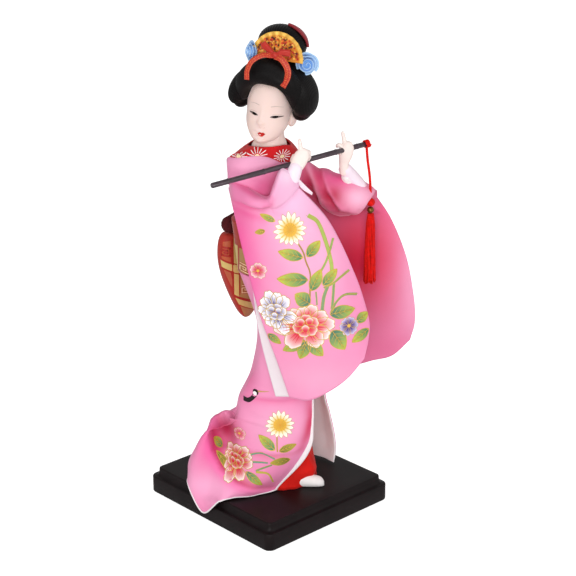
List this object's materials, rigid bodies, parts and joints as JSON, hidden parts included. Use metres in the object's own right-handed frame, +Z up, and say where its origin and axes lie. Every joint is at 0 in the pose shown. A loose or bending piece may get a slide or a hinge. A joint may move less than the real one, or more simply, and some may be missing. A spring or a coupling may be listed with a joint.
{
  "type": "dressed doll figurine",
  "caption": "Standing dressed doll in a long satin kimono that holds a flute, on a stepped rectangular base.",
  "frame": {"origin": "middle of the underside of the base", "axes": "+Z up; the doll's body faces -Y; her right side is at -X"},
  "size_m": [0.1397, 0.1203, 0.3024],
  "materials": {
    "black_lacquer": "gloss lacquer",
    "steel_wire": "drawn wire",
    "white_cotton": "matt",
    "skin_resin": "satin paint",
    "black_hair": "combed fibre, set with lacquer",
    "pink_satin": "satin",
    "white_lining": "plain weave",
    "red_silk": "plain weave",
    "patterned_red": "printed cloth",
    "obi_brocade": "brocade",
    "maroon_crepe": "crepe",
    "gold_paper": "printed gold card",
    "blue_ribbon": "satin ribbon",
    "red_crepe": "crepe ribbon",
    "dark_bamboo": "stained and polished",
    "red_thread": "twisted thread",
    "brass_bead": "darkened"
  },
  "bodies": {
    "root": {"base_plate": "black_lacquer", "leg_wire_right": "steel_wire", "leg_wire_left": "steel_wire", "foot_right": "white_cotton", "foot_left": "white_cotton", "leg_right": "white_cotton", "leg_left": "white_cotton", "body_core": "white_cotton", "arm_right": "white_cotton", "arm_left": "white_cotton", "head": "skin_resin", "hand_right": "skin_resin", "hand_left": "skin_resin", "hair": "black_hair", "top_knot": "black_hair", "hair_crepe": "red_crepe", "hair_fan": "gold_paper", "bow_loops": "red_crepe", "bow_knot": "red_crepe", "bow_tail_right": "red_crepe", "bow_tail_left": "red_crepe", "rose_right": "blue_ribbon", "rose_left": "blue_ribbon", "bodice": "pink_satin", "collar": "patterned_red", "kimono_skirt": "pink_satin", "skirt_lining": "white_lining", "under_skirt": "red_silk", "obi_band": "obi_brocade", "obi_bow": "obi_brocade", "obi_pad": "maroon_crepe", "sleeve_right": "pink_satin", "sleeve_left": "pink_satin", "sleeve_right_lining": "white_lining", "cuff_right": "white_lining", "cuff_left": "white_lining", "flute": "dark_bamboo", "tassel_binding": "red_thread", "tassel_cord": "red_thread", "tassel_knot": "red_thread", "tassel_bead": "brass_bead", "tassel_skirt": "red_thread"}
  },
  "joints": []
}
